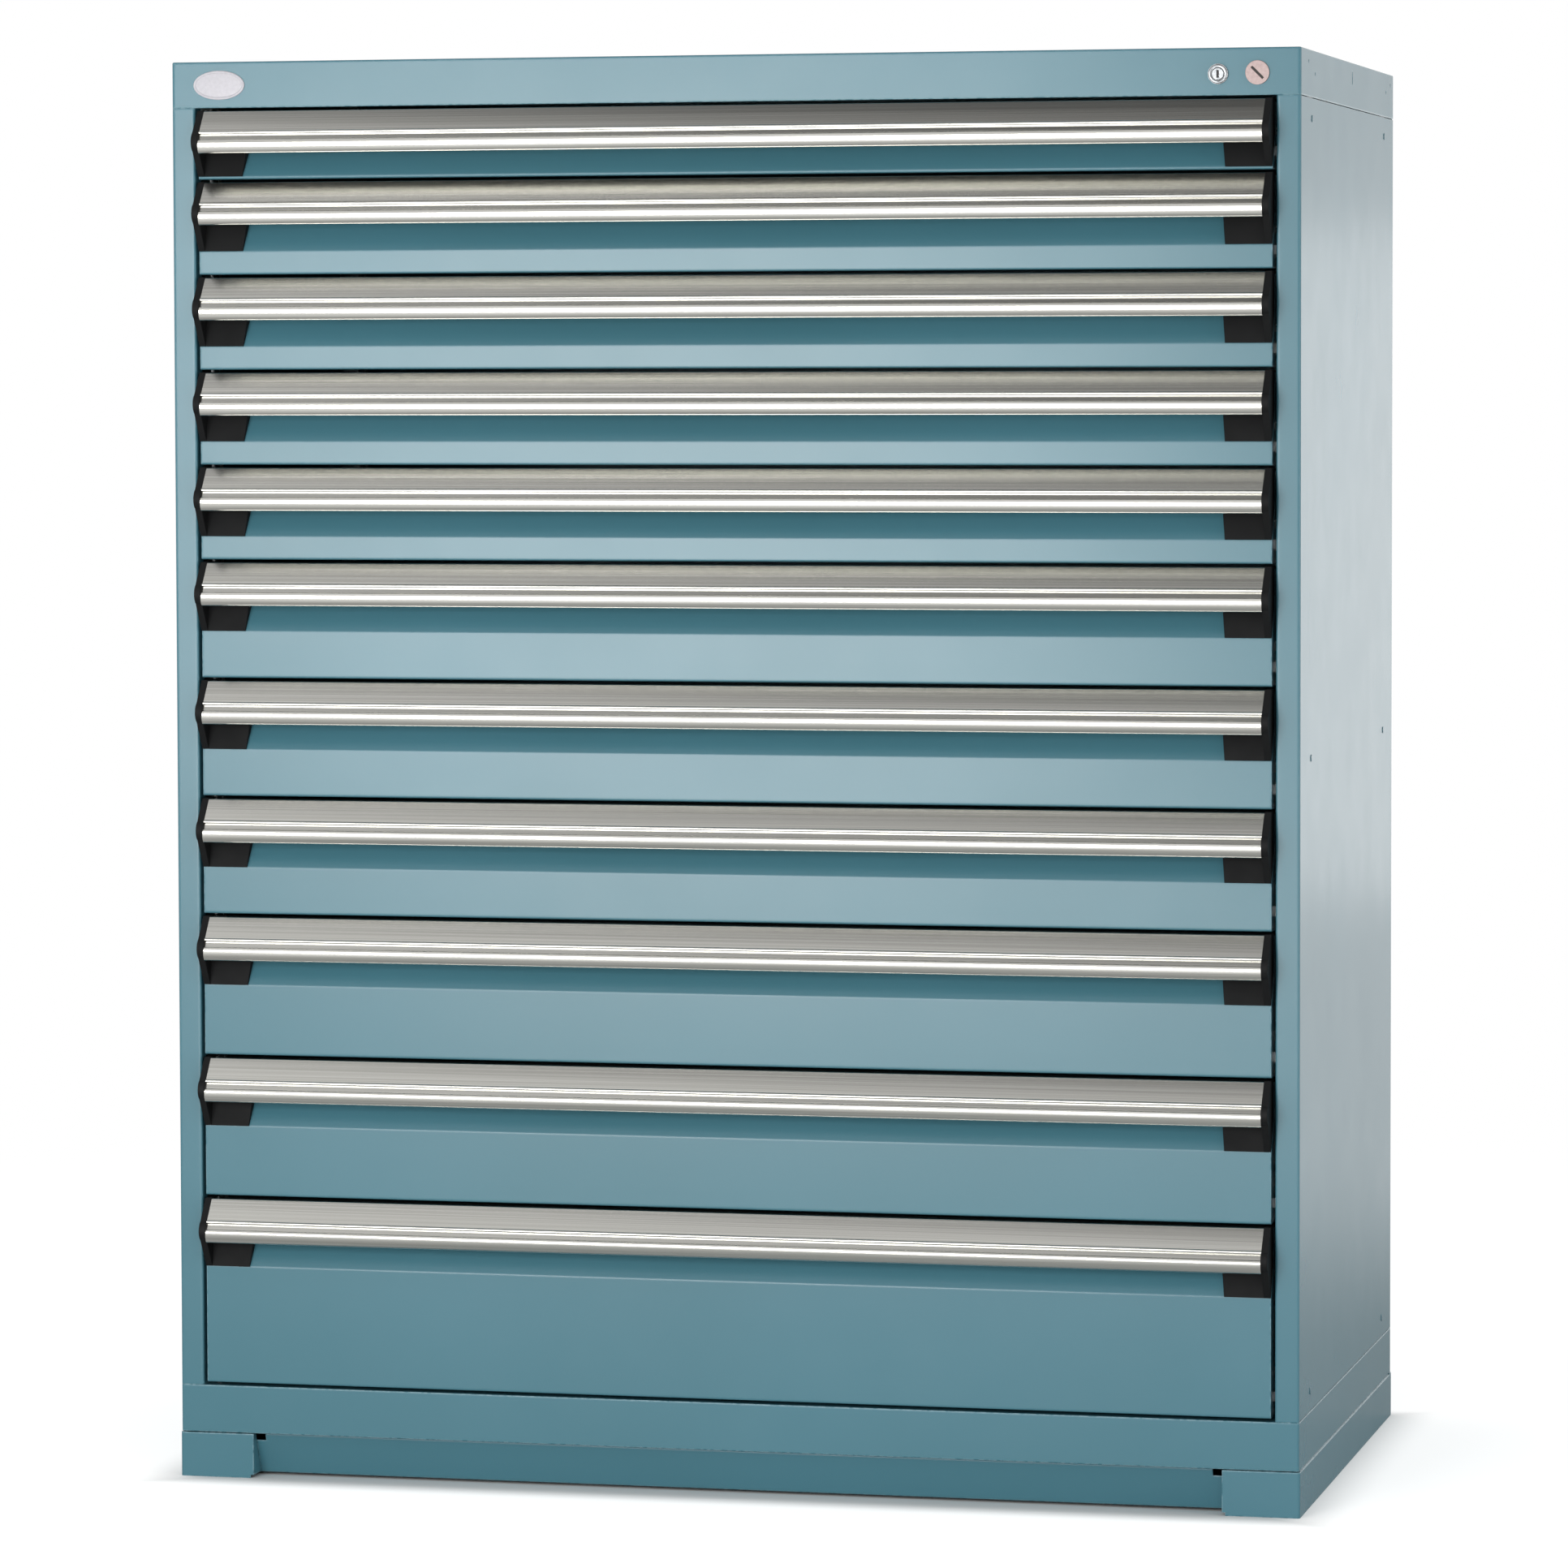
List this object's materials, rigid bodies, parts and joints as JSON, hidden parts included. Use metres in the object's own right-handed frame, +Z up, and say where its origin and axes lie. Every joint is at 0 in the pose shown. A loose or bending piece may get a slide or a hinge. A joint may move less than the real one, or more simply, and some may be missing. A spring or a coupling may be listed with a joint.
{
  "type": "modular drawer cabinet",
  "caption": "Free-standing steel cabinet with full-width drawers of graded heights on telescopic runners, aluminium handle rails, a key lock and a recessed base.",
  "frame": {"origin": "on the floor, in the middle of the footprint with the handles counted in", "axes": "+X to the right as seen from the front, the drawers face -Y, +Z up"},
  "size_m": [1.2212, 0.7128, 1.524],
  "materials": {
    "paint": "satin",
    "zinc_steel": "satin",
    "handle_aluminium": "brushed",
    "black_plastic": "matte",
    "white_plastic": "matte",
    "chrome": "polished",
    "nickel": "satin"
  },
  "bodies": {
    "housing": {"side_panel_right": "paint", "side_panel_left": "paint", "top_cover": "paint", "bottom_pan": "paint", "back_panel": "paint", "base_frame": "paint", "toe_kick_plate": "paint", "uprights": "zinc_steel", "fixed_runners": "zinc_steel", "rivets": "paint", "lock_barrel": "chrome", "lock_guides": "white_plastic", "blanking_cap": "nickel", "name_plate": "chrome"},
    "lock": {"lock_plug": "chrome"},
    "lock_rail": {"lock_bar": "zinc_steel"},
    "drawer_01": {"drawer_01_box": "paint", "drawer_01_handle": "handle_aluminium", "drawer_01_end_caps": "black_plastic"},
    "slides_01": {"drawer_01_slides": "zinc_steel"},
    "drawer_02": {"drawer_02_box": "paint", "drawer_02_handle": "handle_aluminium", "drawer_02_end_caps": "black_plastic"},
    "slides_02": {"drawer_02_slides": "zinc_steel"},
    "drawer_03": {"drawer_03_box": "paint", "drawer_03_handle": "handle_aluminium", "drawer_03_end_caps": "black_plastic"},
    "slides_03": {"drawer_03_slides": "zinc_steel"},
    "drawer_04": {"drawer_04_box": "paint", "drawer_04_handle": "handle_aluminium", "drawer_04_end_caps": "black_plastic"},
    "slides_04": {"drawer_04_slides": "zinc_steel"},
    "drawer_05": {"drawer_05_box": "paint", "drawer_05_handle": "handle_aluminium", "drawer_05_end_caps": "black_plastic"},
    "slides_05": {"drawer_05_slides": "zinc_steel"},
    "drawer_06": {"drawer_06_box": "paint", "drawer_06_handle": "handle_aluminium", "drawer_06_end_caps": "black_plastic"},
    "slides_06": {"drawer_06_slides": "zinc_steel"},
    "drawer_07": {"drawer_07_box": "paint", "drawer_07_handle": "handle_aluminium", "drawer_07_end_caps": "black_plastic"},
    "slides_07": {"drawer_07_slides": "zinc_steel"},
    "drawer_08": {"drawer_08_box": "paint", "drawer_08_handle": "handle_aluminium", "drawer_08_end_caps": "black_plastic"},
    "slides_08": {"drawer_08_slides": "zinc_steel"},
    "drawer_09": {"drawer_09_box": "paint", "drawer_09_handle": "handle_aluminium", "drawer_09_end_caps": "black_plastic"},
    "slides_09": {"drawer_09_slides": "zinc_steel"},
    "drawer_10": {"drawer_10_box": "paint", "drawer_10_handle": "handle_aluminium", "drawer_10_end_caps": "black_plastic"},
    "slides_10": {"drawer_10_slides": "zinc_steel"},
    "drawer_11": {"drawer_11_box": "paint", "drawer_11_handle": "handle_aluminium", "drawer_11_end_caps": "black_plastic"},
    "slides_11": {"drawer_11_slides": "zinc_steel"}
  },
  "joints": [
    {"name": "lock_turn", "type": "hinge", "parent": "housing", "child": "lock", "pos_m": [0.5234, -0.3294, 1.497], "axis": [0, -1, 0], "range_deg": [0, 90]},
    {"name": "lock_bar_rise", "type": "slide", "parent": "housing", "child": "lock_rail", "axis": [0, 0, 1], "range_m": [0, 0.012]},
    {"name": "drawer_01_slide", "type": "slide", "parent": "housing", "child": "drawer_01", "axis": [0, -1, 0], "range_m": [0, 0.6]},
    {"name": "slides_01_slide", "type": "slide", "parent": "housing", "child": "slides_01", "axis": [0, -1, 0], "range_m": [0, 0.3]},
    {"name": "drawer_02_slide", "type": "slide", "parent": "housing", "child": "drawer_02", "axis": [0, -1, 0], "range_m": [0, 0.6]},
    {"name": "slides_02_slide", "type": "slide", "parent": "housing", "child": "slides_02", "axis": [0, -1, 0], "range_m": [0, 0.3]},
    {"name": "drawer_03_slide", "type": "slide", "parent": "housing", "child": "drawer_03", "axis": [0, -1, 0], "range_m": [0, 0.6]},
    {"name": "slides_03_slide", "type": "slide", "parent": "housing", "child": "slides_03", "axis": [0, -1, 0], "range_m": [0, 0.3]},
    {"name": "drawer_04_slide", "type": "slide", "parent": "housing", "child": "drawer_04", "axis": [0, -1, 0], "range_m": [0, 0.6]},
    {"name": "slides_04_slide", "type": "slide", "parent": "housing", "child": "slides_04", "axis": [0, -1, 0], "range_m": [0, 0.3]},
    {"name": "drawer_05_slide", "type": "slide", "parent": "housing", "child": "drawer_05", "axis": [0, -1, 0], "range_m": [0, 0.6]},
    {"name": "slides_05_slide", "type": "slide", "parent": "housing", "child": "slides_05", "axis": [0, -1, 0], "range_m": [0, 0.3]},
    {"name": "drawer_06_slide", "type": "slide", "parent": "housing", "child": "drawer_06", "axis": [0, -1, 0], "range_m": [0, 0.6]},
    {"name": "slides_06_slide", "type": "slide", "parent": "housing", "child": "slides_06", "axis": [0, -1, 0], "range_m": [0, 0.3]},
    {"name": "drawer_07_slide", "type": "slide", "parent": "housing", "child": "drawer_07", "axis": [0, -1, 0], "range_m": [0, 0.6]},
    {"name": "slides_07_slide", "type": "slide", "parent": "housing", "child": "slides_07", "axis": [0, -1, 0], "range_m": [0, 0.3]},
    {"name": "drawer_08_slide", "type": "slide", "parent": "housing", "child": "drawer_08", "axis": [0, -1, 0], "range_m": [0, 0.6]},
    {"name": "slides_08_slide", "type": "slide", "parent": "housing", "child": "slides_08", "axis": [0, -1, 0], "range_m": [0, 0.3]},
    {"name": "drawer_09_slide", "type": "slide", "parent": "housing", "child": "drawer_09", "axis": [0, -1, 0], "range_m": [0, 0.6]},
    {"name": "slides_09_slide", "type": "slide", "parent": "housing", "child": "slides_09", "axis": [0, -1, 0], "range_m": [0, 0.3]},
    {"name": "drawer_10_slide", "type": "slide", "parent": "housing", "child": "drawer_10", "axis": [0, -1, 0], "range_m": [0, 0.6]},
    {"name": "slides_10_slide", "type": "slide", "parent": "housing", "child": "slides_10", "axis": [0, -1, 0], "range_m": [0, 0.3]},
    {"name": "drawer_11_slide", "type": "slide", "parent": "housing", "child": "drawer_11", "axis": [0, -1, 0], "range_m": [0, 0.6]},
    {"name": "slides_11_slide", "type": "slide", "parent": "housing", "child": "slides_11", "axis": [0, -1, 0], "range_m": [0, 0.3]}
  ],
  "couplings": [
    {"joint": "lock_turn", "follows": "lock_bar_rise", "rad_per_m": 130.9},
    {"joint": "slides_01_slide", "follows": "drawer_01_slide", "ratio": 0.5},
    {"joint": "slides_02_slide", "follows": "drawer_02_slide", "ratio": 0.5},
    {"joint": "slides_03_slide", "follows": "drawer_03_slide", "ratio": 0.5},
    {"joint": "slides_04_slide", "follows": "drawer_04_slide", "ratio": 0.5},
    {"joint": "slides_05_slide", "follows": "drawer_05_slide", "ratio": 0.5},
    {"joint": "slides_06_slide", "follows": "drawer_06_slide", "ratio": 0.5},
    {"joint": "slides_07_slide", "follows": "drawer_07_slide", "ratio": 0.5},
    {"joint": "slides_08_slide", "follows": "drawer_08_slide", "ratio": 0.5},
    {"joint": "slides_09_slide", "follows": "drawer_09_slide", "ratio": 0.5},
    {"joint": "slides_10_slide", "follows": "drawer_10_slide", "ratio": 0.5},
    {"joint": "slides_11_slide", "follows": "drawer_11_slide", "ratio": 0.5}
  ]
}
